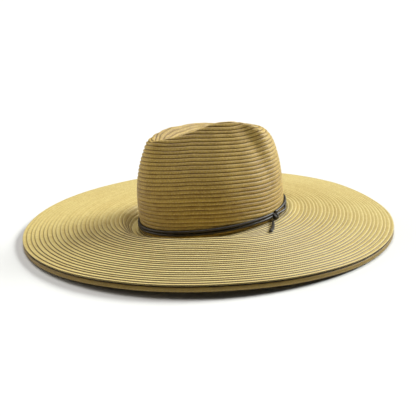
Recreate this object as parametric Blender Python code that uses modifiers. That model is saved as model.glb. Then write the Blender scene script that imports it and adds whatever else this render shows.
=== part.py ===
"""A wide straw sun hat with a pinched teardrop crown and a leather cord tied round it.

Lengths are in metres and +Z is up. The front of the hat faces -Y and the wearer's left is +X.
The origin is the middle of the footprint, on the surface that the brim's edge rests on.

A turn is an angle round the crown, from the front towards the wearer's left. The straw is built as
a hatter blocks it: a flat sheet of stations and rows is rolled into a tube, and each of its points
is then put in its place on the crown, the brim or the edge.
"""

import math

import bmesh
import bpy
from mathutils import Euler, Vector

# Crown, measured on the outside of the straw
CROWN_LENGTH = 0.200
CROWN_WIDTH = 0.173
CROWN_HEIGHT = 0.1298
CROWN_BASE_HEIGHT = 0.0202
CROWN_FOOT_DROP = 0.0060
CROWN_SET_BACK = 0.0055
CROWN_TILT_FORWARD = math.radians(5.0)
CROWN_LEAN_RIGHT = math.radians(3.4)
CROWN_WALL = 0.0025
CROWN_WALL_BOW = 0.0018

# Dent in the top of the crown: its floor line, and how deep the floor lies below the folds
DENT_FRONT = 0.022
DENT_BACK = 0.010
DENT_DEPTH = 0.028

# Above 1 the dent's sides are hollow, steepest by the folds
DENT_HOLLOW = 1.7

# Most of a wall's or a dent side's length that its fold's rounding may take up
MOST_ROUNDING = 0.9

# Brim, over all, and its turned-down edge
BRIM_LENGTH = 0.500
BRIM_WIDTH = 0.476
BRIM_WALL = 0.0022
BRIM_CREST_HEIGHT = 0.0287
BRIM_RIM_LIFT = 0.0075
BRIM_MARGIN = 0.0100
EDGE_HEIGHT = 0.0060
EDGE_THICKNESS = 0.0028
EDGE_RECESS = 0.0006

# Leather cord, wound twice round the crown and tied at the wearer's left, towards the back. Behind
# the knot its lower strand stands away from the crown in a bow.
CORD_DIAMETER = 0.0035
CORD_RISE = 0.0042
CORD_BOW = 0.0035
CORD_BOW_TURNS = 26.0
KNOT_TURN = 117.0
KNOT_WIDTH = 0.0110
KNOT_DEPTH = 0.0080
KNOT_HEIGHT = 0.0095
KNOT_SQUARENESS = 0.6

# Free end of the cord, lying on the brim from beside the knot: its turns, and how far outside the
# crown's foot it starts and ends
TAIL_START_TURN = 110.5
TAIL_START_OUT = 0.0075
TAIL_END_TURN = 96.5
TAIL_END_OUT = 0.0320
TAIL_STEPS = 12

# Gap kept between two pieces that touch
GAP = 0.0003

# How many rows of faces the straw sheets have. The crown's run up its wall, over its fold and down
# into its dent, and the brim's over its flat margin by the crown, up its roll and down to its rim.
WALL_ROWS = 8
FOLD_ROWS = 5
DENT_ROWS = 5
MARGIN_ROWS = 1
ROLL_ROWS = 4
DROOP_ROWS = 5

# How many steps each run of a crown section is worked out in
SECTION_STEPS = 24

# Crown sections. out: where the fold lies, as a share of the foot's half size. left and right: the
# fold's height on that side, as a share of the crown's. soft: how far the fold is rounded, as a
# share of the crown's height. hold: how long the wall stays upright before it leans in.
CROWN_SECTIONS = [
    {"turn": 0, "out": 0.77, "left": 0.918, "right": 0.918, "soft": 0.10, "hold": 3.6},
    {"turn": 7, "out": 0.75, "left": 0.920, "right": 0.920, "soft": 0.06, "hold": 3.4},
    {"turn": 13, "out": 0.68, "left": 0.920, "right": 0.927, "soft": 0.04, "hold": 3.0},
    {"turn": 20, "out": 0.60, "left": 0.918, "right": 0.940, "soft": 0.03, "hold": 2.6},
    {"turn": 30, "out": 0.53, "left": 0.932, "right": 0.943, "soft": 0.03, "hold": 2.2},
    {"turn": 46, "out": 0.46, "left": 0.950, "right": 0.943, "soft": 0.03, "hold": 2.0},
    {"turn": 66, "out": 0.43, "left": 0.972, "right": 0.930, "soft": 0.03, "hold": 1.9},
    {"turn": 90, "out": 0.46, "left": 1.000, "right": 0.915, "soft": 0.03, "hold": 1.9},
    {"turn": 108, "out": 0.54, "left": 0.990, "right": 0.895, "soft": 0.03, "hold": 2.2},
    {"turn": 118, "out": 0.61, "left": 0.975, "right": 0.880, "soft": 0.05, "hold": 2.3},
    {"turn": 129, "out": 0.82, "left": 0.955, "right": 0.872, "soft": 0.19, "hold": 2.7},
    {"turn": 150, "out": 0.85, "left": 0.912, "right": 0.870, "soft": 0.26, "hold": 3.2},
    {"turn": 180, "out": 0.83, "left": 0.885, "right": 0.885, "soft": 0.26, "hold": 2.8},
]

# Brim sections. drop: how far the crown's foot lies below its base, as a share of CROWN_FOOT_DROP.
# crest: height of the roll round the crown, as a share of BRIM_CREST_HEIGHT. reach: how far out the
# roll lies, as a share of the brim's width there. lift: how far the edge stands off the surface that
# the hat rests on, as a share of BRIM_RIM_LIFT. droop: how the brim falls beyond its roll, evenly at 1
# and level first and then faster above 1.
BRIM_SECTIONS = [
    {"turn": 12, "drop": 0.45, "crest": 0.74, "reach": 0.26, "lift": 0.41, "droop": 1.20},
    {"turn": 38, "drop": 0.42, "crest": 0.87, "reach": 0.22, "lift": 0.88, "droop": 0.95},
    {"turn": 62, "drop": 0.53, "crest": 0.92, "reach": 0.21, "lift": 1.00, "droop": 0.90},
    {"turn": 90, "drop": 0.75, "crest": 0.80, "reach": 0.22, "lift": 0.59, "droop": 1.00},
    {"turn": 112, "drop": 0.95, "crest": 0.74, "reach": 0.22, "lift": 0.12, "droop": 1.30},
    {"turn": 130, "drop": 0.90, "crest": 0.76, "reach": 0.20, "lift": 0.00, "droop": 1.50},
    {"turn": 165, "drop": 0.70, "crest": 0.90, "reach": 0.18, "lift": 0.00, "droop": 1.50},
    {"turn": 178, "drop": 0.70, "crest": 0.91, "reach": 0.18, "lift": 0.22, "droop": 1.50},
    {"turn": 192, "drop": 0.70, "crest": 0.92, "reach": 0.18, "lift": 0.52, "droop": 1.50},
    {"turn": 237, "drop": 0.70, "crest": 0.84, "reach": 0.19, "lift": 0.70, "droop": 1.50},
    {"turn": 282, "drop": 0.70, "crest": 0.72, "reach": 0.19, "lift": 0.28, "droop": 1.50},
    {"turn": 310, "drop": 0.70, "crest": 0.68, "reach": 0.19, "lift": 0.12, "droop": 1.50},
    {"turn": 328, "drop": 0.63, "crest": 0.67, "reach": 0.19, "lift": 0.00, "droop": 1.50},
    {"turn": 345, "drop": 0.57, "crest": 0.67, "reach": 0.19, "lift": 0.00, "droop": 1.50},
]


# Stations round one side of the hat, closer together at the nose and at the crease behind the pinch
STATION_STEPS = [
    {"start": 0, "end": 24, "step": 4},
    {"start": 24, "end": 104, "step": 8},
    {"start": 104, "end": 128, "step": 4},
    {"start": 128, "end": 180, "step": 6.5},
]

FULL_TURN = 360.0
HALF_TURN = 180.0


def stations():
    """Turns of the stations round the whole hat, both sides alike, first and last on the seam."""
    left = []
    for run in STATION_STEPS:
        count = round((run["end"] - run["start"]) / run["step"])
        left += [run["start"] + run["step"] * i for i in range(count)]
    left.append(HALF_TURN)
    right = [FULL_TURN - turn for turn in reversed(left[:-1])]
    return left + right


def slope_at(before, after, step_before, step_after):
    """Slope at a table row that keeps the curve between its neighbours, with no overshoot."""
    if before * after <= 0:
        return 0.0
    weight_before = 2 * step_after + step_before
    weight_after = step_after + 2 * step_before
    return (weight_before + weight_after) / (weight_before / before + weight_after / after)


def read_table(table, column, turn):
    """The column's value at any turn, on a smooth curve through the table's rows."""
    rows = [(row["turn"], row[column]) for row in table]
    rows = [(t - FULL_TURN, v) for t, v in rows] + rows + [(t + FULL_TURN, v) for t, v in rows]
    turn %= FULL_TURN
    i = max(k for k in range(len(rows)) if rows[k][0] <= turn)
    steps = [rows[k + 1][0] - rows[k][0] for k in (i - 1, i, i + 1)]
    rises = [(rows[k + 1][1] - rows[k][1]) / (rows[k + 1][0] - rows[k][0]) for k in (i - 1, i, i + 1)]
    start_slope = slope_at(rises[0], rises[1], steps[0], steps[1])
    end_slope = slope_at(rises[1], rises[2], steps[1], steps[2])
    x = (turn - rows[i][0]) / steps[1]
    value = (2 * x**3 - 3 * x**2 + 1) * rows[i][1] + (3 * x**2 - 2 * x**3) * rows[i + 1][1]
    value += ((x**3 - 2 * x**2 + x) * start_slope + (x**3 - x**2) * end_slope) * steps[1]
    return value


def crown_table(column, turn):
    """A value of the crown's table, which is written for one side and serves both."""
    mirrored = [dict(row, turn=FULL_TURN - row["turn"]) for row in CROWN_SECTIONS[-2:0:-1]]
    return read_table(CROWN_SECTIONS + mirrored, column, turn)


def fold_height(turn):
    """Height of the fold above the crown's base."""
    side = "left" if turn % FULL_TURN <= HALF_TURN else "right"
    return CROWN_HEIGHT * crown_table(side, turn)


def foot_height(turn):
    """Height of the crown's foot over its base, which is below 0: the straw hangs a little lower."""
    return -CROWN_FOOT_DROP * read_table(BRIM_SECTIONS, "drop", turn)


def crown_to_hat(point):
    """Takes a point from the crown's own frame, on its base, to the hat's frame."""
    tilt = Euler((CROWN_TILT_FORWARD, -CROWN_LEAN_RIGHT, 0.0))
    return tilt.to_matrix() @ point + Vector((0.0, CROWN_SET_BACK, CROWN_BASE_HEIGHT))


def oval(turn, grow=0.0, height=0.0):
    """A point on the oval of the crown's foot, grown outwards, in the crown's own frame."""
    angle = math.radians(turn)
    half_width = CROWN_WIDTH / 2 + grow
    half_length = CROWN_LENGTH / 2 + grow
    return Vector((half_width * math.sin(angle), -half_length * math.cos(angle), height))


def along(path, distance):
    """The point that lies this far along a path."""
    for start, end in zip(path, path[1:]):
        piece = (end - start).length
        if distance <= piece and piece > 0:
            return start.lerp(end, distance / piece)
        distance -= piece
    return path[-1].copy()


def path_length(path):
    """Length of a path."""
    return sum((end - start).length for start, end in zip(path, path[1:]))


def crown_section(turn):
    """Outline of the crown at one turn, as three runs: up its wall, over its fold, into its dent.

    Each run is a path, and how far along the path the run starts and ends.
    """
    foot = oval(turn, 0.0, foot_height(turn))
    out = crown_table("out", turn)
    hold = crown_table("hold", turn)
    height = fold_height(turn)
    fold = Vector((foot.x * out, foot.y * out, height))
    forward = math.cos(math.radians(turn))
    floor_y = -DENT_FRONT * max(forward, 0.0) + DENT_BACK * max(-forward, 0.0)
    floor = Vector((0.0, floor_y, CROWN_HEIGHT - DENT_DEPTH))
    wall = []
    dent = []
    for i in range(SECTION_STEPS + 1):
        share = i / SECTION_STEPS
        point = foot.lerp(fold, share**hold)
        point += foot.xy.normalized().to_3d() * (CROWN_WALL_BOW * math.sin(math.pi * share) ** 2)
        point.z = foot.z + (height - foot.z) * share
        wall.append(point)
        point = fold.lerp(floor, share)
        point.z = floor.z + (height - floor.z) * (1 - share) ** DENT_HOLLOW
        dent.append(point)
    wall_length = path_length(wall)
    dent_length = path_length(dent)
    rounding = CROWN_HEIGHT * crown_table("soft", turn)
    rounding = min(rounding, MOST_ROUNDING * wall_length, MOST_ROUNDING * dent_length)
    rounded = rounded_fold(along(wall, wall_length - rounding), fold, along(dent, rounding))
    return (
        (wall, 0.0, wall_length - rounding),
        (rounded, 0.0, path_length(rounded)),
        (dent, rounding, dent_length),
    )


def rounded_fold(start, fold, end):
    """A curve from the wall to the dent that bends towards the fold's sharp line."""
    path = []
    for i in range(SECTION_STEPS + 1):
        share = i / SECTION_STEPS
        path.append(start.lerp(fold, share).lerp(fold.lerp(end, share), share))
    return path


def crown_row_point(turn, row):
    """A point on one of the crown's rows of faces: its wall, its fold or its dent."""
    wall, fold, dent = crown_section(turn)
    if row <= WALL_ROWS:
        path, start, end = wall
        share = row / WALL_ROWS
    elif row <= WALL_ROWS + FOLD_ROWS:
        path, start, end = fold
        share = (row - WALL_ROWS) / FOLD_ROWS
    else:
        path, start, end = dent
        share = (row - WALL_ROWS - FOLD_ROWS) / DENT_ROWS
    return crown_to_hat(along(path, start + (end - start) * share))


def brim_inner(turn, grow):
    """A point on the brim's flat margin round the crown, this far outside the crown's foot."""
    return crown_to_hat(oval(turn, grow, foot_height(turn) - GAP))


def brim_rim(turn):
    """A point on the top of the brim's rim."""
    angle = math.radians(turn)
    height = rim_lift(turn) + EDGE_HEIGHT + GAP + BRIM_WALL
    return Vector((BRIM_WIDTH / 2 * math.sin(angle), -BRIM_LENGTH / 2 * math.cos(angle), height))


def brim_width(turn):
    """Width of the brim in plan, from its inner edge under the crown's wall to its rim."""
    return (brim_rim(turn) - brim_inner(turn, -CROWN_WALL)).xy.length


def brim_point(turn, share):
    """A point of the brim's upper side, this share of the way from its inner edge to its rim."""
    inner = brim_inner(turn, -CROWN_WALL)
    margin = brim_inner(turn, BRIM_MARGIN)
    rim = brim_rim(turn)
    margin_share = (CROWN_WALL + BRIM_MARGIN) / brim_width(turn)
    reach = read_table(BRIM_SECTIONS, "reach", turn)
    crest = BRIM_CREST_HEIGHT * read_table(BRIM_SECTIONS, "crest", turn)
    point = inner.lerp(rim, share)
    if share <= margin_share:
        point.z = inner.z + (margin.z - inner.z) * share / margin_share
    elif share <= reach:
        rise = (share - margin_share) / (reach - margin_share)
        point.z = margin.z + (crest - margin.z) * rise * rise * (3 - 2 * rise)
    else:
        fall = (share - reach) / (1 - reach)
        point.z = crest - (crest - rim.z) * fall**read_table(BRIM_SECTIONS, "droop", turn)
    return point


def brim_row_point(turn, row):
    """A point on one of the brim's rows of faces: its margin, its roll or its droop."""
    margin_share = (CROWN_WALL + BRIM_MARGIN) / brim_width(turn)
    reach = read_table(BRIM_SECTIONS, "reach", turn)
    if row <= MARGIN_ROWS:
        share = margin_share * row / MARGIN_ROWS
    elif row <= MARGIN_ROWS + ROLL_ROWS:
        share = margin_share + (reach - margin_share) * (row - MARGIN_ROWS) / ROLL_ROWS
    else:
        share = reach + (1 - reach) * (row - MARGIN_ROWS - ROLL_ROWS) / DROOP_ROWS
    return brim_point(turn, share)


def rim_lift(turn):
    """How far the edge stands off the surface that the hat rests on."""
    return BRIM_RIM_LIFT * read_table(BRIM_SECTIONS, "lift", turn)


def edge_row_point(turn, row):
    """A point on the turned-down edge's outside: row 0 is its top, under the rim, and 1 its foot."""
    angle = math.radians(turn)
    half_width = BRIM_WIDTH / 2 - EDGE_RECESS
    half_length = BRIM_LENGTH / 2 - EDGE_RECESS
    height = rim_lift(turn) + EDGE_HEIGHT * (1 - row)
    return Vector((half_width * math.sin(angle), -half_length * math.cos(angle), height))


def material(name, colour, roughness):
    """A plain finish of one colour."""
    finish = bpy.data.materials.new(name)
    finish.use_nodes = True
    shader = finish.node_tree.nodes["Principled BSDF"]
    shader.inputs["Base Color"].default_value = (*colour, 1.0)
    shader.inputs["Roughness"].default_value = roughness
    shader.inputs["Metallic"].default_value = 0.0
    finish.diffuse_color = (*colour, 1.0)
    return finish


def keep(obj, collection, finish):
    """Puts a piece in the hat's collection with its finish, shaded smooth."""
    if obj.name not in collection.objects:
        collection.objects.link(obj)
    obj.data.materials.clear()
    obj.data.materials.append(finish)
    if obj.type == "MESH":
        obj.data.shade_smooth()
        obj.data.set_sharp_from_angle(angle=math.radians(50))
    return obj


def straw_sheet(name, rows, place, thickness, offset, collection, finish):
    """A piece of straw: a flat grid of stations and rows, rolled up, blocked and thickened.

    The offset is -1 where the grid's faces look out of the straw once it is rolled up, and 1 where
    they look into it.
    """
    turns = stations()
    columns = len(turns) - 1
    sheet = bmesh.new()
    bmesh.ops.create_grid(sheet, x_segments=columns, y_segments=rows, size=0.5)
    for vertex in sheet.verts:
        column = round((vertex.co.x + 0.5) * columns)
        row = round((vertex.co.y + 0.5) * rows)
        vertex.co = place(turns[column], row)
    bmesh.ops.remove_doubles(sheet, verts=sheet.verts, dist=0.00002)
    mesh = bpy.data.meshes.new(name)
    sheet.to_mesh(mesh)
    sheet.free()
    piece = keep(bpy.data.objects.new(name, mesh), collection, finish)
    wall = piece.modifiers.new("wall", "SOLIDIFY")
    wall.thickness = thickness
    wall.offset = offset
    return piece


def tube(name, points, collection, finish):
    """A stretch of cord along these points, as one closed mesh with flat ends."""
    curve = bpy.data.curves.new(name, "CURVE")
    curve.dimensions = "3D"
    curve.bevel_depth = CORD_DIAMETER / 2
    curve.bevel_resolution = 2
    curve.use_fill_caps = True
    spline = curve.splines.new("POLY")
    spline.points.add(len(points) - 1)
    for control, point in zip(spline.points, points):
        control.co = (*point, 1.0)
    return keep(bpy.data.objects.new(name, curve), collection, finish)


def cord_centre(turn, strand):
    """Middle of a strand round the crown: 0 is the lower one and 1 the upper one, lying on it."""
    radius = CORD_DIAMETER / 2
    height = foot_height(turn) + CORD_RISE + radius + (CORD_DIAMETER + GAP) * strand
    out = radius + 2 * GAP
    past_knot = (turn - KNOT_TURN) % FULL_TURN / CORD_BOW_TURNS
    if strand == 0 and past_knot < 1:
        out += CORD_BOW * math.sin(math.pi * past_knot) ** 2
    return crown_to_hat(oval(turn, out, height))


def knot_span():
    """Half the turn that the knot takes up, with its gap to the strands' ends."""
    degree = (cord_centre(KNOT_TURN + 0.5, 0) - cord_centre(KNOT_TURN - 0.5, 0)).length
    return (KNOT_WIDTH / 2 + GAP) / degree


def cord_strand(name, strand, collection, finish):
    """One strand, from one side of the knot round the crown to its other side."""
    start = KNOT_TURN + knot_span()
    end = KNOT_TURN - knot_span() + FULL_TURN
    passed = [turn + FULL_TURN * lap for lap in (0, 1) for turn in stations()[:-1]]
    turns = [start] + [turn for turn in passed if start + 2 < turn < end - 2] + [end]
    return tube(name, [cord_centre(turn, strand) for turn in turns], collection, finish)


def knot_frame():
    """Middle of the knot, and the directions along the cord, away from the crown and up."""
    along_cord = (cord_centre(KNOT_TURN + 1, 0) - cord_centre(KNOT_TURN - 1, 0)).normalized()
    up = (cord_centre(KNOT_TURN, 1) - cord_centre(KNOT_TURN, 0)).normalized()
    outward = along_cord.cross(up)
    foot = crown_to_hat(oval(KNOT_TURN, 0.0, foot_height(KNOT_TURN)))
    centre = foot + outward * (KNOT_DEPTH / 2 + 2 * GAP) + up * (KNOT_HEIGHT / 2 + GAP)
    return centre, along_cord, outward, up


def squared(value):
    """Moves a coordinate of a ball of radius 1 out towards the box round it."""
    return math.copysign(abs(value) ** KNOT_SQUARENESS, value)


def knot(collection, finish):
    """The tight knot that the strands run into, as a rounded block."""
    centre, along_cord, outward, up = knot_frame()
    block = bmesh.new()
    bmesh.ops.create_uvsphere(block, u_segments=16, v_segments=10, radius=1.0)
    for vertex in block.verts:
        across, deep, high = (squared(value) for value in vertex.co)
        place = centre - along_cord * (across * KNOT_WIDTH / 2)
        place += outward * (deep * KNOT_DEPTH / 2)
        place += up * (high * KNOT_HEIGHT / 2)
        vertex.co = place
    mesh = bpy.data.meshes.new("cord_knot")
    block.to_mesh(mesh)
    block.free()
    return keep(bpy.data.objects.new("cord_knot", mesh), collection, finish)


def tail_points():
    """Middle line of the free end, on the brim from beside the knot."""
    points = []
    for i in range(TAIL_STEPS + 1):
        step = i / TAIL_STEPS
        turn = TAIL_START_TURN + (TAIL_END_TURN - TAIL_START_TURN) * step
        out = TAIL_START_OUT + (TAIL_END_OUT - TAIL_START_OUT) * step
        point = brim_point(turn, (CROWN_WALL + out) / brim_width(turn))
        points.append(point + Vector((0.0, 0.0, CORD_DIAMETER / 2 + 3 * GAP)))
    return points


def main():
    for old in list(bpy.data.objects):
        bpy.data.objects.remove(old, do_unlink=True)
    hat = bpy.data.collections.new("sun_hat")
    bpy.context.scene.collection.children.link(hat)
    straw = material("straw braid", (0.62, 0.50, 0.26), 0.62)
    edge_straw = material("edge braid", (0.48, 0.37, 0.18), 0.65)
    leather = material("dark leather", (0.025, 0.022, 0.02), 0.45)
    crown_rows = WALL_ROWS + FOLD_ROWS + DENT_ROWS
    brim_rows = MARGIN_ROWS + ROLL_ROWS + DROOP_ROWS
    straw_sheet("crown", crown_rows, crown_row_point, CROWN_WALL, -1, hat, straw)
    straw_sheet("brim", brim_rows, brim_row_point, BRIM_WALL, 1, hat, straw)
    straw_sheet("brim_edge", 1, edge_row_point, EDGE_THICKNESS, 1, hat, edge_straw)
    cord_strand("cord_lower_strand", 0, hat, leather)
    cord_strand("cord_upper_strand", 1, hat, leather)
    knot(hat, leather)
    tube("cord_tail", tail_points(), hat, leather)


main()
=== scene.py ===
"""Looks of the straw sun hat: rows of sewn braid, a leather cord and a plain studio.

Lengths are in metres and +Z is up. The front of the hat faces -Y and the wearer's left is +X, as in
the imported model. A turn is an angle round the crown, from the front towards the wearer's left.
"""

import logging
import math
from dataclasses import dataclass, field
from enum import Enum
from typing import Any

import bmesh
import bpy
import numpy as np
from mathutils import Euler, Matrix, Vector

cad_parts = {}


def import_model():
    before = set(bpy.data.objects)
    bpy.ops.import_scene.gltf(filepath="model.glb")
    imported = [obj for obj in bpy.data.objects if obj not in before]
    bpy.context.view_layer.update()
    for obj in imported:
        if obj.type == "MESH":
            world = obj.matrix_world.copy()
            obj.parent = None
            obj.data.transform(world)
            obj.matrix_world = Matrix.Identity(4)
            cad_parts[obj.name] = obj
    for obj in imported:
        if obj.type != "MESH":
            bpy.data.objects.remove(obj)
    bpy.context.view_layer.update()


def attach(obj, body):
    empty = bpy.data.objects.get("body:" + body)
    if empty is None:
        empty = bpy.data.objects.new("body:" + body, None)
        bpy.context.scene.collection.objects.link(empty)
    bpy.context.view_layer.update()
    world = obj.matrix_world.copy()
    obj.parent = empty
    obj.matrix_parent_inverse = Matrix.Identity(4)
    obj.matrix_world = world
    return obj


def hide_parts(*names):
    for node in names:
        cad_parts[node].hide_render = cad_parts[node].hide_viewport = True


LOG = logging.getLogger("sun_hat")

FULL_TURN = 360.0
HALF_TURN = 180.0

# Sheets and tubes start as a unit square round the origin, and doubles nearer than this are merged
HALF_SQUARE = 0.5
MERGE_DISTANCE = 0.00002

# A UV place just inside the end of its row of braid
ROW_END = 0.999

# How far a trefoil's line reaches from its middle, in its formula's own units
TREFOIL_REACH = 3.0

# A Mix node's places for its two colours and for the mixed one
MIX_LOW = 6
MIX_HIGH = 7
MIX_RESULT = 2

Colour = tuple[float, float, float]


class Slot(Enum):
    """The record's material slots."""

    STRAW = "straw"
    EDGE = "edge_straw"
    LEATHER = "leather_cord"


class Strand(Enum):
    """The two strands of cord round the crown, by how many cords each one lies above the foot."""

    LOWER = 0
    UPPER = 1


@dataclass(frozen=True)
class Table:
    """A short table of values round the hat, read as a smooth curve through its rows."""

    rows: tuple[dict[str, float], ...]

    def value(self, column: str, turn: float) -> float:
        """Reads a column at any turn.

        Args:
            column: The column's name.
            turn: The turn in degrees.

        Returns:
            The value on the curve, which never overshoots the rows.
        """
        points = [(row["turn"], row[column]) for row in self.rows]
        before = [(t - FULL_TURN, v) for t, v in points]
        after = [(t + FULL_TURN, v) for t, v in points]
        points = before + points + after
        turn %= FULL_TURN
        i = max(k for k in range(len(points)) if points[k][0] <= turn)
        steps = [points[k + 1][0] - points[k][0] for k in (i - 1, i, i + 1)]
        rises = [(points[k + 1][1] - points[k][1]) / (points[k + 1][0] - points[k][0])
                 for k in (i - 1, i, i + 1)]
        start_slope = self.slope(rises[0], rises[1], steps[0], steps[1])
        end_slope = self.slope(rises[1], rises[2], steps[1], steps[2])
        x = (turn - points[i][0]) / steps[1]
        value = (2 * x**3 - 3 * x**2 + 1) * points[i][1] + (3 * x**2 - 2 * x**3) * points[i + 1][1]
        return value + ((x**3 - 2 * x**2 + x) * start_slope + (x**3 - x**2) * end_slope) * steps[1]

    @staticmethod
    def slope(before: float, after: float, step_before: float, step_after: float) -> float:
        """Slope at a row that keeps the curve between its neighbours.

        Args:
            before: Slope of the stretch before the row.
            after: Slope of the stretch after it.
            step_before: Length of the stretch before the row.
            step_after: Length of the stretch after it.

        Returns:
            The curve's slope at the row.
        """
        if before * after <= 0:
            return 0.0
        weight_before = 2 * step_after + step_before
        weight_after = step_after + 2 * step_before
        return (weight_before + weight_after) / (weight_before / before + weight_after / after)

    def mirrored(self) -> "Table":
        """The table with the rows of its one side repeated on the other."""
        others = [dict(row, turn=FULL_TURN - row["turn"]) for row in self.rows[-2:0:-1]]
        return Table(self.rows + tuple(others))


# Sections of the crown. out: where the fold lies, as a share of the foot's half size. left and right:
# the fold's height on that side, as a share of the crown's. soft: how far the fold is rounded, as a
# share of the crown's height. hold: how long the wall stays upright before it leans in.
CROWN_SECTIONS = Table((
    {"turn": 0, "out": 0.77, "left": 0.918, "right": 0.918, "soft": 0.10, "hold": 3.6},
    {"turn": 7, "out": 0.75, "left": 0.920, "right": 0.920, "soft": 0.06, "hold": 3.4},
    {"turn": 13, "out": 0.68, "left": 0.920, "right": 0.927, "soft": 0.04, "hold": 3.0},
    {"turn": 20, "out": 0.60, "left": 0.918, "right": 0.940, "soft": 0.03, "hold": 2.6},
    {"turn": 30, "out": 0.53, "left": 0.932, "right": 0.943, "soft": 0.03, "hold": 2.2},
    {"turn": 46, "out": 0.46, "left": 0.950, "right": 0.943, "soft": 0.03, "hold": 2.0},
    {"turn": 66, "out": 0.43, "left": 0.972, "right": 0.930, "soft": 0.03, "hold": 1.9},
    {"turn": 90, "out": 0.46, "left": 1.000, "right": 0.915, "soft": 0.03, "hold": 1.9},
    {"turn": 108, "out": 0.54, "left": 0.990, "right": 0.895, "soft": 0.03, "hold": 2.2},
    {"turn": 118, "out": 0.61, "left": 0.975, "right": 0.880, "soft": 0.05, "hold": 2.3},
    {"turn": 129, "out": 0.82, "left": 0.955, "right": 0.872, "soft": 0.19, "hold": 2.7},
    {"turn": 150, "out": 0.85, "left": 0.912, "right": 0.870, "soft": 0.26, "hold": 3.2},
    {"turn": 180, "out": 0.83, "left": 0.885, "right": 0.885, "soft": 0.26, "hold": 2.8},
)).mirrored()

# How far the crown's rows of braid stand up from its foot, in metres
ROW_RISES = Table((
    {"turn": 0, "rise": 0.0000},
    {"turn": 46, "rise": 0.0000},
    {"turn": 66, "rise": 0.0025},
    {"turn": 90, "rise": 0.0070},
    {"turn": 118, "rise": 0.0120},
    {"turn": 150, "rise": 0.0140},
    {"turn": 180, "rise": 0.0140},
)).mirrored()

# Sections of the brim. drop: how far the crown's foot lies below its base, as a share of foot_drop.
# crest: height of the roll round the crown, as a share of crest_height. reach: how far out the roll
# lies, as a share of the brim's width there. lift: how far the edge stands off the floor, as a share
# of rim_lift. droop: how the brim falls beyond its roll, evenly at 1, and above 1 level first and then
# faster.
BRIM_SECTIONS = Table((
    {"turn": 12, "drop": 0.45, "crest": 0.74, "reach": 0.26, "lift": 0.41, "droop": 1.20},
    {"turn": 38, "drop": 0.42, "crest": 0.87, "reach": 0.22, "lift": 0.88, "droop": 0.95},
    {"turn": 62, "drop": 0.53, "crest": 0.92, "reach": 0.21, "lift": 1.00, "droop": 0.90},
    {"turn": 90, "drop": 0.75, "crest": 0.80, "reach": 0.22, "lift": 0.59, "droop": 1.00},
    {"turn": 112, "drop": 0.95, "crest": 0.74, "reach": 0.22, "lift": 0.12, "droop": 1.30},
    {"turn": 130, "drop": 0.90, "crest": 0.76, "reach": 0.20, "lift": 0.00, "droop": 1.50},
    {"turn": 165, "drop": 0.70, "crest": 0.90, "reach": 0.18, "lift": 0.00, "droop": 1.50},
    {"turn": 178, "drop": 0.70, "crest": 0.91, "reach": 0.18, "lift": 0.22, "droop": 1.50},
    {"turn": 192, "drop": 0.70, "crest": 0.92, "reach": 0.18, "lift": 0.52, "droop": 1.50},
    {"turn": 237, "drop": 0.70, "crest": 0.84, "reach": 0.19, "lift": 0.70, "droop": 1.50},
    {"turn": 282, "drop": 0.70, "crest": 0.72, "reach": 0.19, "lift": 0.28, "droop": 1.50},
    {"turn": 310, "drop": 0.70, "crest": 0.68, "reach": 0.19, "lift": 0.12, "droop": 1.50},
    {"turn": 328, "drop": 0.63, "crest": 0.67, "reach": 0.19, "lift": 0.00, "droop": 1.50},
    {"turn": 345, "drop": 0.57, "crest": 0.67, "reach": 0.19, "lift": 0.00, "droop": 1.50},
))


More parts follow.
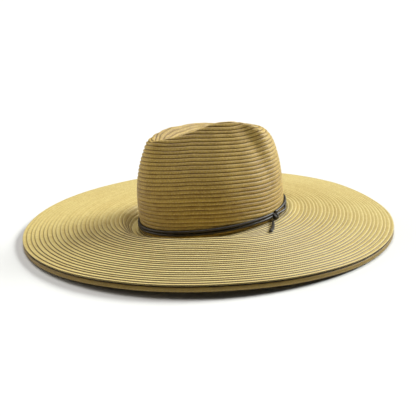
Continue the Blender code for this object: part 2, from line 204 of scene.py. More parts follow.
class Nodes:
    """A material's node tree, with short calls for the nodes that the finishes are made of."""

    def __init__(self, name: str) -> None:
        """Starts a material.

        Args:
            name: The material's name.
        """
        self.material = bpy.data.materials.new(name)
        self.material.use_nodes = True
        self.tree = self.material.node_tree
        self.shader = self.tree.nodes["Principled BSDF"]

    def put(self, value: Any, socket: bpy.types.NodeSocket) -> None:
        """Links another node's output to a socket, or sets a plain value on it.

        Args:
            value: An output socket, a number or a colour.
            socket: The input socket.
        """
        if isinstance(value, bpy.types.NodeSocket):
            self.tree.links.new(value, socket)
        else:
            socket.default_value = value

    def math(self, operation: str, first: Any, second: Any = 0.0, third: Any = 0.0) -> Any:
        """Adds a Math node.

        Args:
            operation: The operation's name.
            first: First value.
            second: Second value.
            third: Third value, for the operations that take one.

        Returns:
            The node's output.
        """
        node = self.tree.nodes.new("ShaderNodeMath")
        node.operation = operation
        for value, socket in zip((first, second, third), node.inputs):
            self.put(value, socket)
        return node.outputs[0]

    def blend(self, share: Any, low: Any, high: Any) -> Any:
        """Blends two numbers: low at share 0 and high at share 1."""
        rise = self.math("SUBTRACT", high, low)
        return self.math("MULTIPLY_ADD", share, rise, low)

    def ease(self, value: Any, low: float, high: float) -> Any:
        """Adds a smooth step.

        Args:
            value: The value to read.
            low: Where the step starts.
            high: Where the step ends.

        Returns:
            An output that is 0 below low and 1 above high.
        """
        node = self.tree.nodes.new("ShaderNodeMapRange")
        node.interpolation_type = "SMOOTHSTEP"
        self.put(value, node.inputs["Value"])
        node.inputs["From Min"].default_value = low
        node.inputs["From Max"].default_value = high
        return node.outputs["Result"]

    def mix(self, share: Any, low: Any, high: Any) -> Any:
        """Mixes two colours.

        Args:
            share: How much of the second colour shows.
            low: The first colour.
            high: The second colour.

        Returns:
            The mixed colour's output.
        """
        node = self.tree.nodes.new("ShaderNodeMix")
        node.data_type = "RGBA"
        self.put(share, node.inputs[0])
        self.put((*low, 1.0) if isinstance(low, tuple) else low, node.inputs[MIX_LOW])
        self.put((*high, 1.0) if isinstance(high, tuple) else high, node.inputs[MIX_HIGH])
        return node.outputs[MIX_RESULT]

    def vector(self, x: Any, y: Any, z: Any) -> Any:
        """Joins three values into a vector."""
        node = self.tree.nodes.new("ShaderNodeCombineXYZ")
        for value, socket in zip((x, y, z), node.inputs):
            self.put(value, socket)
        return node.outputs[0]

    def noise(self, vector: Any, scale: float, detail: float) -> Any:
        """Adds smooth noise.

        Args:
            vector: Where the noise is read.
            scale: How fine it is.
            detail: How many finer layers it has.

        Returns:
            The noise, round 0.5.
        """
        node = self.tree.nodes.new("ShaderNodeTexNoise")
        self.put(vector, node.inputs["Vector"])
        node.inputs["Scale"].default_value = scale
        node.inputs["Detail"].default_value = detail
        return node.outputs["Fac"]

    def chance(self, vector: Any) -> Any:
        """A random value between 0 and 1 that is the same wherever the vector is."""
        node = self.tree.nodes.new("ShaderNodeTexWhiteNoise")
        node.noise_dimensions = "3D"
        self.put(vector, node.inputs["Vector"])
        return node.outputs["Value"]

    def hump(self, value: Any) -> Any:
        """A round hump from 0 to 1 and back between each whole number and the next."""
        turn = self.math("MULTIPLY", self.math("FRACT", value), math.pi)
        return self.math("SINE", turn)

    def surface(self, name: str) -> tuple[Any, Any]:
        """The two directions of a piece's own UV map."""
        node = self.tree.nodes.new("ShaderNodeUVMap")
        node.uv_map = name
        parts = self.tree.nodes.new("ShaderNodeSeparateXYZ")
        self.put(node.outputs[0], parts.inputs[0])
        return parts.outputs[0], parts.outputs[1]

    def place(self) -> Any:
        """Object coordinates."""
        return self.tree.nodes.new("ShaderNodeTexCoord").outputs["Object"]

    def bump(self, height: Any, strength: float, distance: float) -> None:
        """Raises the surface's relief.

        Args:
            height: The relief's height, from 0 to 1.
            strength: How much of it shows.
            distance: The height in metres that 1 stands for.
        """
        node = self.tree.nodes.new("ShaderNodeBump")
        self.put(height, node.inputs["Height"])
        node.inputs["Strength"].default_value = strength
        node.inputs["Distance"].default_value = distance
        self.put(node.outputs[0], self.shader.inputs["Normal"])


@dataclass(frozen=True)
class StrawFinish:
    """Sewn straw braid: plaited straws in rows, each row sewn over the next one out.

    It reads the piece's UV map "braid": the length along a row, and the row's number plus the phase,
    which is the place across the row, from 0 at the edge that tucks in to 1 at its free one. The tones
    add up to how light the straw is, from its dark colour at 0 to its light one at 1, and include a
    painted highlight along each row's raised bead. Shade is painted too: between the straws, where a row
    tucks in and under its free edge.
    """

    name: str
    light: Colour
    dark: Colour
    # Painted shade where a row tucks in beneath the free edge of the row before it
    tucked_shade: Colour
    # Painted shade under a row's free edge
    under: Colour
    thread: Colour = (0.70, 0.60, 0.38)
    sheen: Colour = (1.0, 0.96, 0.82)

    # The plait: its pitch along the row in metres, its crossings in a row, and the noise in its straws
    plait: float = 0.0030
    crossings: float = 1.5
    row_slip: float = 0.031
    fibres_across: float = 9.0
    fibres_along: float = 1.1
    fine_layers: float = 2.0
    patch_scale: float = 14.0
    stretch_scale: float = 70.0
    stretch_layers: float = 3.0

    # How light the straw starts, and how much each thing adds
    tone_base: float = -0.38
    tone_of_straw: float = 0.36
    tone_of_fibre: float = 0.45
    tone_of_patch: float = 0.45
    tone_of_stretch: float = 0.40
    tone_of_row: float = 0.22
    # Painted highlight along each row's raised bead, between these phases
    tone_of_bead_highlight: float = 0.30
    bead_highlight_phases: tuple[float, float] = (0.35, 0.85)

    # The thread: one stitch's length in metres, its place in the row and the share of it that shows
    stitch: float = 0.0042
    stitch_phase: float = 0.78
    stitch_reach: float = 0.05
    stitch_share: float = 0.62
    stitch_shown: float = 0.35
    stitch_depth: float = 0.35

    # Painted shade: the straw darkens down a straw's side, where its row tucks in, and under the free
    # edge
    straw_top: float = 0.55
    straw_side_shade: float = 0.30
    tucked_shade_phase: float = 0.15
    tucked_shade_wander: float = 0.30
    tucked_shade_phases: tuple[float, float] = (-0.04, 0.22)
    under_edge_shade_phases: tuple[float, float] = (0.935, 0.965)

    # The surface
    roughness: float = 0.64
    fibre_gloss: float = 0.20
    gloss: float = 0.55
    sheen_weight: float = 0.10
    sheen_roughness: float = 0.40
    fibre_relief: float = 0.25
    relief_shown: float = 0.55
    relief_height: float = 0.00040

    def make(self) -> bpy.types.Material:
        """Builds the material.

        Returns:
            The material.
        """
        nodes = Nodes(self.name)
        length, row = nodes.surface("braid")
        number = nodes.math("FLOOR", row)
        phase = nodes.math("FRACT", row)
        luck = nodes.chance(nodes.vector(number, 0.5, 0.5))
        slid = nodes.math("MULTIPLY_ADD", luck, self.row_slip, length)
        relief, fibre, own = self.plaited(nodes, slid, phase, number)
        stretches = nodes.vector(nodes.math("MULTIPLY", slid, self.stretch_scale), number, 0.0)
        stretch = nodes.noise(stretches, 1.0, self.stretch_layers)
        tones = (
            (own, self.tone_of_straw),
            (fibre, self.tone_of_fibre),
            (nodes.noise(nodes.place(), self.patch_scale, self.fine_layers), self.tone_of_patch),
            (stretch, self.tone_of_stretch),
            (luck, self.tone_of_row),
            # Painted highlight along each row's raised bead
            (nodes.ease(phase, *self.bead_highlight_phases), self.tone_of_bead_highlight),
        )
        tone = self.tone_base
        for part, share in tones:
            tone = nodes.math("MULTIPLY_ADD", part, share, tone)
        colour = nodes.mix(tone, self.dark, self.light)
        sewn = self.sewn(nodes, slid, phase)
        colour = nodes.mix(nodes.math("MULTIPLY", sewn, self.stitch_shown), colour, self.thread)
        colour = self.shaded(nodes, colour, relief, stretch, phase)
        nodes.put(colour, nodes.shader.inputs["Base Color"])
        roughness = nodes.math("MULTIPLY_ADD", fibre, -self.fibre_gloss, self.roughness)
        nodes.put(roughness, nodes.shader.inputs["Roughness"])
        nodes.shader.inputs["Sheen Weight"].default_value = self.sheen_weight
        nodes.shader.inputs["Sheen Roughness"].default_value = self.sheen_roughness
        nodes.shader.inputs["Sheen Tint"].default_value = (*self.sheen, 1.0)
        nodes.shader.inputs["Specular IOR Level"].default_value = self.gloss
        height = nodes.math("MULTIPLY_ADD", fibre, self.fibre_relief, relief)
        height = nodes.math("MULTIPLY_ADD", sewn, -self.stitch_depth, height)
        nodes.bump(height, self.relief_shown, self.relief_height)
        return nodes.material

    def plaited(self, nodes: Nodes, slid: Any, phase: Any, number: Any) -> tuple[Any, Any, Any]:
        """Crosses the straws of the plait.

        Args:
            nodes: The material's nodes.
            slid: The length along the row.
            phase: The place across the row.
            number: The row's number.

        Returns:
            The straws' height, the fibres that run along them, and a random value for each straw.
        """
        straw = nodes.math("DIVIDE", slid, self.plait)
        across = nodes.math("MULTIPLY", phase, self.crossings)
        first = nodes.math("ADD", straw, across)
        second = nodes.math("SUBTRACT", straw, across)
        first_cell = nodes.math("FLOOR", first)
        second_cell = nodes.math("FLOOR", second)
        over = nodes.math("FLOORED_MODULO", nodes.math("ADD", first_cell, second_cell), 2.0)
        relief = nodes.blend(over, nodes.hump(first), nodes.hump(second))
        own = nodes.chance(nodes.vector(nodes.blend(over, first_cell, second_cell), over, number))
        first_scale = nodes.blend(over, self.fibres_across, self.fibres_along)
        second_scale = nodes.blend(over, self.fibres_along, self.fibres_across)
        fibre_first = nodes.math("MULTIPLY", first, first_scale)
        fibre_second = nodes.math("MULTIPLY", second, second_scale)
        fibres = nodes.vector(fibre_first, fibre_second, number)
        return relief, nodes.noise(fibres, 1.0, self.fine_layers), own

    def sewn(self, nodes: Nodes, slid: Any, phase: Any) -> Any:
        """Lays the dashes of thread along the row.

        Args:
            nodes: The material's nodes.
            slid: The length along the row.
            phase: The place across the row.

        Returns:
            An output that is 1 on the thread and 0 elsewhere.
        """
        line = nodes.math("COMPARE", phase, self.stitch_phase, self.stitch_reach)
        dash = nodes.math("FRACT", nodes.math("DIVIDE", slid, self.stitch))
        return nodes.math("MULTIPLY", line, nodes.math("LESS_THAN", dash, self.stitch_share))

    def shaded(self, nodes: Nodes, colour: Any, relief: Any, stretch: Any, phase: Any) -> Any:
        """Paints shade on the straw: between the straws, where the row tucks in and under its free edge.

        Args:
            nodes: The material's nodes.
            colour: The straw's colour.
            relief: The straws' height.
            stretch: Slow noise along the row.
            phase: The place across the row.

        Returns:
            The colour with its painted shade.
        """
        # Painted shade down the sides of the straws, where they dip under each other
        top = nodes.ease(relief, 0.0, self.straw_top)
        shown = nodes.math("MULTIPLY_ADD", top, self.straw_side_shade, 1 - self.straw_side_shade)
        # Painted shade where the row tucks in, its line wandering with the slow noise
        past_tucked_shade = nodes.math("SUBTRACT", phase, self.tucked_shade_phase)
        tucked_shade_place = nodes.math("MULTIPLY_ADD", stretch, self.tucked_shade_wander, past_tucked_shade)
        shown = nodes.math("MULTIPLY", shown, nodes.ease(tucked_shade_place, *self.tucked_shade_phases))
        colour = nodes.mix(shown, self.tucked_shade, colour)
        # Painted shade under the free edge
        return nodes.mix(nodes.ease(phase, *self.under_edge_shade_phases), colour, self.under)


# Painted shade: dark straw colour for the gap under a row's free edge
ROW_GAP_SHADE: Colour = (0.070, 0.034, 0.005)
BRIM_ROW_GAP_SHADE: Colour = (0.085, 0.043, 0.007)

# The brim's straw painted darker and deeper, as painted shade on the crown's wall
SHADE_PAINTED_CROWN_STRAW = StrawFinish(
    name="crown straw with painted shade",
    light=(0.55, 0.375, 0.070),
    dark=(0.22, 0.115, 0.010),
    tucked_shade=(0.13, 0.065, 0.006),
    under=ROW_GAP_SHADE,
)
BRIM_STRAW = StrawFinish(
    name="brim straw",
    light=(0.63, 0.512, 0.188),
    dark=(0.41, 0.270, 0.052),
    tucked_shade=(0.30, 0.184, 0.030),
    under=BRIM_ROW_GAP_SHADE,
)
# The same braid as the brim's, painted darker as painted shade on the lip that hangs under the rim
SHADE_PAINTED_EDGE_STRAW = StrawFinish(
    name="edge straw with painted shade",
    light=(0.33, 0.215, 0.028),
    dark=(0.18, 0.105, 0.010),
    tucked_shade=(0.060, 0.030, 0.004),
    under=ROW_GAP_SHADE,
)


@dataclass(frozen=True)
class LeatherFinish:
    """Dark leather lace with a fine grain, scuffed a little paler here and there.

    It reads the piece's UV map "cord": the length along the cord and the place round it.
    """

    name: str
    colour: Colour = (0.014, 0.010, 0.006)
    scuffed: Colour = (0.075, 0.050, 0.028)
    streak_scale: float = 160.0
    grain_scale: float = 1500.0
    grain_layers: float = 3.0
    patch_scale: float = 120.0
    patch_layers: float = 2.0
    scuffed_streaks: tuple[float, float] = (0.45, 0.75)
    scuffed_patches: tuple[float, float] = (0.35, 0.70)
    roughness: float = 0.34
    grain_roughness: float = 0.25
    gloss: float = 0.5
    streak_relief: float = 0.8
    relief_shown: float = 0.5
    relief_height: float = 0.00025

    def make(self) -> bpy.types.Material:
        """Builds the material.

        Returns:
            The material.
        """
        nodes = Nodes(self.name)
        length, around = nodes.surface("cord")
        streaks = nodes.vector(nodes.math("MULTIPLY", length, self.streak_scale), around, 0.0)
        streak = nodes.noise(streaks, 1.0, self.grain_layers)
        grain = nodes.noise(nodes.place(), self.grain_scale, self.grain_layers)
        patch = nodes.noise(nodes.place(), self.patch_scale, self.patch_layers)
        worn_streaks = nodes.ease(streak, *self.scuffed_streaks)
        worn = nodes.math("MULTIPLY", worn_streaks, nodes.ease(patch, *self.scuffed_patches))
        nodes.put(nodes.mix(worn, self.colour, self.scuffed), nodes.shader.inputs["Base Color"])
        roughness = nodes.math("MULTIPLY_ADD", grain, self.grain_roughness, self.roughness)
        nodes.put(roughness, nodes.shader.inputs["Roughness"])
        nodes.shader.inputs["Specular IOR Level"].default_value = self.gloss
        height = nodes.math("MULTIPLY_ADD", streak, self.streak_relief, grain)
        nodes.bump(height, self.relief_shown, self.relief_height)
        return nodes.material


@dataclass(frozen=True)
class FloorFinish:
    """Plain pale studio floor."""

    name: str = "studio floor"
    colour: Colour = (0.68, 0.68, 0.675)
    roughness: float = 0.85
    gloss: float = 0.1

    def make(self) -> bpy.types.Material:
        """Builds the material.

        Returns:
            The material.
        """
        nodes = Nodes(self.name)
        nodes.shader.inputs["Base Color"].default_value = (*self.colour, 1.0)
        nodes.shader.inputs["Roughness"].default_value = self.roughness
        nodes.shader.inputs["Specular IOR Level"].default_value = self.gloss
        return nodes.material


@dataclass(frozen=True)
class RowProfile:
    """How a row of braid stands out of its sheet, from its tucked edge to its free one.

    Heights are shares of the relief. A row starts early or late by at most uneven, as a share of a row.
    """

    phases: tuple[float, ...] = (0.0, 0.20, 0.48, 0.74, 0.93)
    heights: tuple[float, ...] = (0.0, 0.52, 0.94, 1.0, 0.58)
    relief: float = 0.0015
    end_height: float = 0.4
    uneven: float = 0.08
    uneven_step: float = 2.4

    def rows(self, count: int) -> list[float]:
        """Where the mesh's rows lie, counted in rows of braid.

        Args:
            count: How many rows of braid the sheet has.

        Returns:
            The place of each mesh row, from 0 to the count.
        """
        starts = [k + self.uneven * math.sin(self.uneven_step * k) for k in range(count)]
        starts.append(float(count))
        found = []
        for start, end in zip(starts, starts[1:]):
            found += [start + (end - start) * phase for phase in self.phases]
        return found + [float(count)]

    def proud(self, mesh_row: int, count: int) -> float:
        """How far a mesh row stands out of the sheet's middle surface.

        Args:
            mesh_row: The mesh row's number.
            count: How many rows of braid the sheet has.

        Returns:
            The distance in metres, below 0 where the row lies deeper.
        """
        if mesh_row == count * len(self.phases):
            return self.relief * (self.end_height - 0.5)
        return self.relief * (self.heights[mesh_row % len(self.phases)] - 0.5)


def turns_round(stations: int) -> list[float]:
    """Turns of the stations round the hat, with the first one again at the end."""
    return [FULL_TURN * i / stations for i in range(stations + 1)]


def reach_along(outline: np.ndarray) -> np.ndarray:
    """Distance of each point from the first one, along an outline."""
    return np.concatenate([[0.0], np.cumsum(np.linalg.norm(np.diff(outline, axis=0), axis=1))])


def places_along(outline: np.ndarray, distances: np.ndarray) -> np.ndarray:
    """Points of an outline at these distances from its first point."""
    reach = reach_along(outline)
    return np.stack([np.interp(distances, reach, outline[:, axis]) for axis in range(3)], axis=1)


def grid_place(corner: Vector, columns: int, rows: int) -> tuple[int, int]:
    """Column and row of a corner of the flat grid that a sheet or tube starts from."""
    return round((corner.x + HALF_SQUARE) * columns), round((corner.y + HALF_SQUARE) * rows)


@dataclass
class BraidSheet:
    """A sheet of sewn braid: a flat grid of stations and rows that is blocked into its place.

    The point inside is one that the sheet's outer side faces away from.
    """

    name: str
    count: int
    wall: float
    inside: Vector
    profile: RowProfile = field(default_factory=RowProfile)

    def build(
        self, places: np.ndarray, fade: np.ndarray, finish: bpy.types.Material
    ) -> bpy.types.Object:
        """Builds and dresses the sheet.

        Args:
            places: Place of each mesh row and station, in metres.
            fade: How much of the rows' relief is kept at each mesh row and station.
            finish: The straw's material.

        Returns:
            The finished piece.
        """
        mesh_rows, columns = places.shape[0] - 1, places.shape[1] - 1
        sheet = bmesh.new()
        bmesh.ops.create_grid(sheet, x_segments=columns, y_segments=mesh_rows, size=HALF_SQUARE)
        self.map_braid(sheet, places)
        proud = sheet.verts.layers.float.new("proud")
        for vertex in sheet.verts:
            column, row = grid_place(vertex.co, columns, mesh_rows)
            vertex[proud] = self.profile.proud(row, self.count) * fade[row, column]
            vertex.co = places[row, column]
        bmesh.ops.remove_doubles(sheet, verts=sheet.verts, dist=MERGE_DISTANCE)
        sheet.normal_update()
        outward = 0.0
        for face in sheet.faces:
            away = face.calc_center_median() - self.inside
            outward += away.dot(face.normal) * face.calc_area()
        if outward < 0:
            bmesh.ops.reverse_faces(sheet, faces=sheet.faces)
            sheet.normal_update()
        moves = [vertex.normal * vertex[proud] for vertex in sheet.verts]
        for vertex, move in zip(sheet.verts, moves):
            vertex.co += move
        piece = finished(self.name, sheet, finish)
        wall = piece.modifiers.new("wall", "SOLIDIFY")
        wall.thickness = self.wall
        wall.offset = -1.0
        return piece

    def map_braid(self, sheet: bmesh.types.BMesh, places: np.ndarray) -> None:
        """Gives the flat grid its UV map: the length along each row of braid, and the row.

        Args:
            sheet: The flat grid, before it is blocked.
            places: Place of each mesh row and station, in metres.
        """
        mesh_rows, columns = places.shape[0] - 1, places.shape[1] - 1
        phases = len(self.profile.phases)
        middle = places[phases // 2::phases][:self.count]
        steps = np.linalg.norm(np.diff(middle, axis=1), axis=2)
        lengths = np.concatenate([np.zeros((self.count, 1)), np.cumsum(steps, axis=1)], axis=1)
        rows = self.profile.rows(self.count)
        braid = sheet.loops.layers.uv.new("braid")
        for face in sheet.faces:
            spots = [grid_place(loop.vert.co, columns, mesh_rows) for loop in face.loops]
            number = min(row for column, row in spots) // phases
            for loop, (column, row) in zip(face.loops, spots):
                start = rows[number * phases]
                share = (rows[row] - start) / (rows[(number + 1) * phases] - start)
                across = number + min(share, ROW_END)
                loop[braid].uv = (lengths[number, column], across)


def finished(name: str, shape: bmesh.types.BMesh, finish: bpy.types.Material) -> bpy.types.Object:
    """Turns a bmesh into a smooth piece with its finish.

    Args:
        name: The piece's name.
        shape: The bmesh, which is freed.
        finish: The piece's material.

    Returns:
        The piece.
    """
    mesh = bpy.data.meshes.new(name)
    shape.to_mesh(mesh)
    shape.free()
    mesh.shade_smooth()
    mesh.materials.append(finish)
    piece = bpy.data.objects.new(name, mesh)
    bpy.context.scene.collection.objects.link(piece)
    return piece


@dataclass(frozen=True)
class Lace:
    """A stretch of leather cord: a flat grid that is rolled into a tube along a line of points.

    Widths and thickness are shares of the diameter. The long and the short wave, in radians a metre, make
    it a little knobbly.
    """

    name: str
    diameter: float
    sides: int = 20
    start_width: float = 1.0
    end_width: float = 1.0
    thickness: float = 1.0
    cut_end: float = 0.90
    knobbly: float = 0.03
    long_wave: float = 610.0
    short_wave: float = 1490.0
    long_share: float = 0.6

    def build(
        self, points: list[Vector], finish: bpy.types.Material, closed: bool = False
    ) -> bpy.types.Object:
        """Builds and dresses the tube.

        Args:
            points: The cord's middle line.
            finish: The leather's material.
            closed: Whether the line runs back into its start.

        Returns:
            The finished piece.
        """
        count = len(points) - 1
        across = self.frames(points, closed)
        tube = bmesh.new()
        bmesh.ops.create_grid(tube, x_segments=count, y_segments=self.sides, size=HALF_SQUARE)
        lengths = [0.0]
        for start, end in zip(points, points[1:]):
            lengths.append(lengths[-1] + (end - start).length)
        skin = tube.loops.layers.uv.new("cord")
        for face in tube.faces:
            for loop in face.loops:
                ring = grid_place(loop.vert.co, count, self.sides)[0]
                loop[skin].uv = (lengths[ring], (loop.vert.co.y + HALF_SQUARE) * math.pi)
        for vertex in tube.verts:
            ring = grid_place(vertex.co, count, self.sides)[0]
            angle = (vertex.co.y + HALF_SQUARE) * math.tau
            side, up = across[ring]
            radius = self.radius(lengths[ring], ring, count, closed, angle)
            width = self.start_width + (self.end_width - self.start_width) * ring / count
            vertex.co = points[ring] + side * (radius * width * math.cos(angle))
            vertex.co += up * (radius * self.thickness * math.sin(angle))
        bmesh.ops.remove_doubles(tube, verts=tube.verts, dist=MERGE_DISTANCE)
        if not closed:
            rims = [edge for edge in tube.edges if edge.is_boundary]
            bmesh.ops.holes_fill(tube, edges=rims, sides=0)
        bmesh.ops.recalc_face_normals(tube, faces=tube.faces)
        return finished(self.name, tube, finish)

    def radius(self, length: float, ring: int, count: int, closed: bool, angle: float) -> float:
        """The cord's radius at one place on its skin.

        Args:
            length: How far along the cord the place is.
            ring: The ring's number.
            count: The last ring's number.
            closed: Whether the cord has no ends.
            angle: The place round the cord.

        Returns:
            The radius in metres, a little less at a cut end.
        """
        radius = self.diameter / 2
        if closed:
            return radius
        wave = math.sin(length * self.long_wave) * self.long_share
        wave += math.sin(length * self.short_wave + 2 * angle) * (1 - self.long_share)
        radius *= 1 + self.knobbly * wave
        return radius * self.cut_end if ring in (0, count) else radius

    @staticmethod
    def frames(points: list[Vector], closed: bool) -> list[tuple[Vector, Vector]]:
        """Directions across the cord at each point, turned as little as possible from one to the next.

        Args:
            points: The cord's middle line.
            closed: Whether the line runs back into its start.

        Returns:
            Two directions for each point, both square to the cord.
        """
        last = len(points) - 1
        ahead = [points[min(i + 1, last)] - points[max(i - 1, 0)] for i in range(last + 1)]
        if closed:
            ahead[0] = ahead[last] = points[1] - points[last - 1]
        ahead = [direction.normalized() for direction in ahead]
        up = (Vector((0.0, 0.0, 1.0)) - ahead[0] * ahead[0].z).normalized()
        ups = [up]
        for before, after in zip(ahead, ahead[1:]):
            up = before.rotation_difference(after) @ ups[-1]
            ups.append((up - after * up.dot(after)).normalized())
        if closed:
            side = ahead[last].cross(ups[0])
            twist = math.atan2(ups[last].dot(side), ups[last].dot(ups[0]))
            ups = [Matrix.Rotation(-twist * i / last, 3, ahead[i]) @ ups[i] for i in range(last + 1)]
        return [(direction.cross(up), up) for direction, up in zip(ahead, ups)]


@dataclass
class Crown:
    """The pinched teardrop crown, measured on the outside of the straw."""

    length: float = 0.200
    width: float = 0.173
    height: float = 0.1298
    base_height: float = 0.0202
    foot_drop: float = 0.0060
    set_back: float = 0.0055
    tilt_forward: float = math.radians(5.0)
    lean_right: float = math.radians(3.4)
    wall: float = 0.0025
    wall_bow: float = 0.0018
    dent_front: float = 0.022
    dent_back: float = 0.010
    dent_depth: float = 0.028
    dent_hollow: float = 1.7
    most_rounding: float = 0.9
    pitch: float = 0.0052
    stations: int = 248
    section_steps: int = 40
    fade_length: float = 0.0015
    inside_height: float = 0.06

    def to_hat(self, point: Vector) -> Vector:
        """Takes a point from the crown's own frame, on its base, to the hat's frame."""
        tilt = Euler((self.tilt_forward, -self.lean_right, 0.0))
        return tilt.to_matrix() @ point + Vector((0.0, self.set_back, self.base_height))

    def oval(self, turn: float, grow: float = 0.0, height: float = 0.0) -> Vector:
        """A point on the oval of the crown's foot, in the crown's own frame.

        Args:
            turn: The turn in degrees.
            grow: How far outside the foot the point lies.
            height: The point's height above the crown's base.

        Returns:
            The point.
        """
        angle = math.radians(turn)
        half_width = self.width / 2 + grow
        half_length = self.length / 2 + grow
        return Vector((half_width * math.sin(angle), -half_length * math.cos(angle), height))

    def foot_height(self, turn: float) -> float:
        """Height of the crown's foot over its base, which is below 0."""
        return -self.foot_drop * BRIM_SECTIONS.value("drop", turn)

    def section(self, turn: float) -> list[Vector]:
        """Outline of the crown at one turn: up its wall, over its fold and into its dent.

        Args:
            turn: The turn in degrees.

        Returns:
            The outline's points, in the crown's own frame.
        """
        side = "left" if turn % FULL_TURN <= HALF_TURN else "right"
        height = self.height * CROWN_SECTIONS.value(side, turn)
        out = CROWN_SECTIONS.value("out", turn)
        hold = CROWN_SECTIONS.value("hold", turn)
        foot = self.oval(turn, 0.0, self.foot_height(turn))
        fold = Vector((foot.x * out, foot.y * out, height))
        forward = math.cos(math.radians(turn))
        floor_y = -self.dent_front * max(forward, 0.0) + self.dent_back * max(-forward, 0.0)
        floor = Vector((0.0, floor_y, self.height - self.dent_depth))
        wall = []
        dent = []
        for i in range(self.section_steps + 1):
            share = i / self.section_steps
            point = foot.lerp(fold, share**hold)
            point += foot.xy.normalized().to_3d() * (self.wall_bow * math.sin(math.pi * share) ** 2)
            point.z = foot.z + (height - foot.z) * share
            wall.append(point)
            point = fold.lerp(floor, share)
            point.z = floor.z + (height - floor.z) * (1 - share) ** self.dent_hollow
            dent.append(point)
        soft = self.height * CROWN_SECTIONS.value("soft", turn)
        soft = min(soft, self.most_rounding * length_of(wall), self.most_rounding * length_of(dent))
        start = cut(wall, length_of(wall) - soft)
        end = cut(list(reversed(dent)), length_of(dent) - soft)
        rounded = []
        for i in range(1, self.section_steps):
            share = i / self.section_steps
            rounded.append(start[-1].lerp(fold, share).lerp(fold.lerp(end[-1], share), share))
        return start + rounded + list(reversed(end))

    def build(self, finish: bpy.types.Material) -> bpy.types.Object:
        """Builds the crown's rows of braid.

        Args:
            finish: The straw's material.

        Returns:
            The finished piece, on the hat's body.
        """
        turns = turns_round(self.stations)
        outlines = [np.array([self.to_hat(point) for point in self.section(turn)]) for turn in turns]
        tops = [reach_along(outline)[-1] for outline in outlines]
        rises = [ROW_RISES.value("rise", turn) for turn in turns]
        count = math.ceil(max(top + rise for top, rise in zip(tops, rises)) / self.pitch)
        sheet = BraidSheet("crown_braid", count, self.wall, Vector((0.0, 0.0, self.inside_height)))
        rows = np.array(sheet.profile.rows(count))
        places = np.zeros((len(rows), len(turns), 3))
        fade = np.zeros((len(rows), len(turns)))
        for column, (outline, top, rise) in enumerate(zip(outlines, tops, rises)):
            up = np.clip((count - rows) * self.pitch - rise, 0.0, top)
            places[:, column] = places_along(outline, up)
            fade[:, column] = np.clip(np.minimum(up, top - up) / self.fade_length, 0.0, 1.0)
        piece = sheet.build(places, fade, finish)
        return settle(piece, Slot.STRAW, "crown")


def length_of(path: list[Vector]) -> float:
    """Length of a path."""
    return sum((end - start).length for start, end in zip(path, path[1:]))


def cut(path: list[Vector], distance: float) -> list[Vector]:
    """Cuts a path off.

    Args:
        path: The path's points.
        distance: How much of the path is kept.

    Returns:
        The kept points, the last one at the cut.
    """
    kept = [path[0]]
    for start, end in zip(path, path[1:]):
        piece = (end - start).length
        if distance <= piece:
            kept.append(start.lerp(end, distance / piece))
            return kept
        distance -= piece
        kept.append(end)
    return kept


def settle(piece: bpy.types.Object, slot: Slot, *nodes: str) -> bpy.types.Object:
    """Puts a piece on the hat's one body in place of its CAD nodes.

    Args:
        piece: The piece.
        slot: The record's slot that its finish belongs to. It is not used.
        *nodes: The CAD nodes that it stands for.

    Returns:
        The piece.
    """
    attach(piece, "root")
    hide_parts(*nodes)
    return piece


